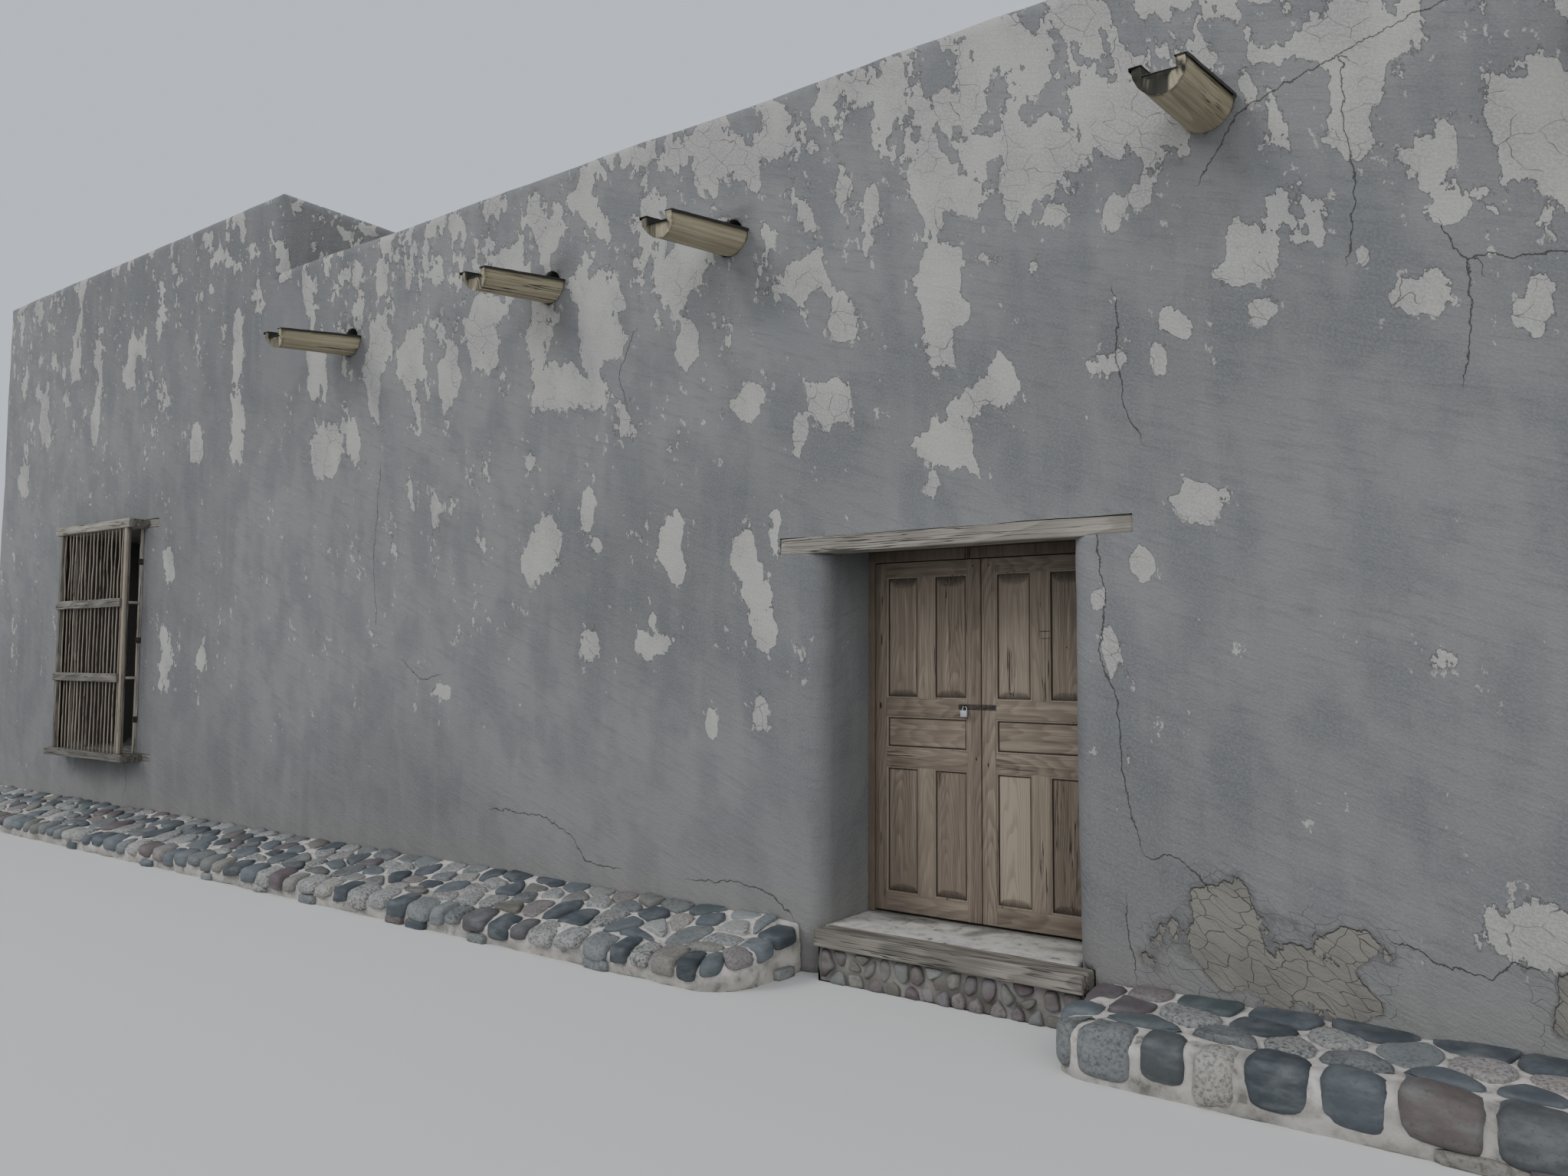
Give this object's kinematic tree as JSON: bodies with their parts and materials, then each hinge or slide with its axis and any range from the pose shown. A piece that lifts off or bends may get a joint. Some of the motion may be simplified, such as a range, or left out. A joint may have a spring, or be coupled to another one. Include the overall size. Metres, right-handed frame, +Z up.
{
  "type": "adobe house with roof spouts and a panelled double door",
  "caption": "Long flat-roofed adobe house with taller ends, rounded parapets, log roof spouts, caged windows and a panelled double door.",
  "frame": {"origin": "on the ground under the middle of the house's box, level with the meeting line of the door leaves", "axes": "+X along the front to the right, +Y from the front towards the back, +Z up"},
  "size_m": [27.01, 7.64, 6.05],
  "materials": {
    "plaster": "matte",
    "roof_earth": "matte",
    "floor_earth": "matte",
    "cobble": "matte",
    "lime_slab": "matte",
    "grey_wood": "matte",
    "dark_wood": "matte",
    "door_wood": "satin",
    "iron": "matte",
    "liner_metal": "matte",
    "lock_steel": "satin"
  },
  "bodies": {
    "house": {"front_wall_left": "plaster", "front_wall_right": "plaster", "front_wall_over_door": "plaster", "left_block_front_wall": "plaster", "right_block_front_wall": "plaster", "left_end_wall": "plaster", "right_end_wall": "plaster", "back_wall": "plaster", "left_block_back_wall": "plaster", "right_block_back_wall": "plaster", "left_cross_wall": "plaster", "right_cross_wall": "plaster", "main_roof": "roof_earth", "left_block_roof": "roof_earth", "right_block_roof": "roof_earth", "roof_logs": "dark_wood", "floors": "floor_earth", "front_plinth_left": "cobble", "front_plinth_right": "cobble", "left_end_plinth": "cobble", "right_end_plinth": "cobble", "back_plinth": "cobble", "door_lintel": "grey_wood", "door_soffit": "dark_wood", "door_frame": "door_wood", "threshold_beam": "grey_wood", "threshold_slab": "lime_slab", "frame_hinges": "iron", "window_lintels": "grey_wood", "window_sills": "grey_wood", "left_window_cage": "grey_wood", "right_window_cage": "grey_wood", "cage_straps": "iron", "spout_1": "grey_wood", "spout_2": "grey_wood", "spout_3": "grey_wood", "spout_4": "grey_wood", "spout_5": "grey_wood", "spout_6": "grey_wood", "spout_liners": "liner_metal"},
    "left_leaf": {"left_leaf_frame": "door_wood", "left_leaf_panels": "door_wood", "left_leaf_hinges": "iron", "hasp_strap": "iron", "padlock": "lock_steel"},
    "right_leaf": {"right_leaf_frame": "door_wood", "right_leaf_panels": "door_wood", "right_leaf_hinges": "iron", "hasp_plate": "iron"}
  },
  "joints": [
    {"name": "left_leaf_hinge", "type": "hinge", "parent": "house", "child": "left_leaf", "pos_m": [-0.7275, -2.517, 1.34], "axis": [0, 0, 1], "range_deg": [0, 110]},
    {"name": "right_leaf_hinge", "type": "hinge", "parent": "house", "child": "right_leaf", "pos_m": [0.7275, -2.517, 1.34], "axis": [0, 0, -1], "range_deg": [0, 110]}
  ]
}
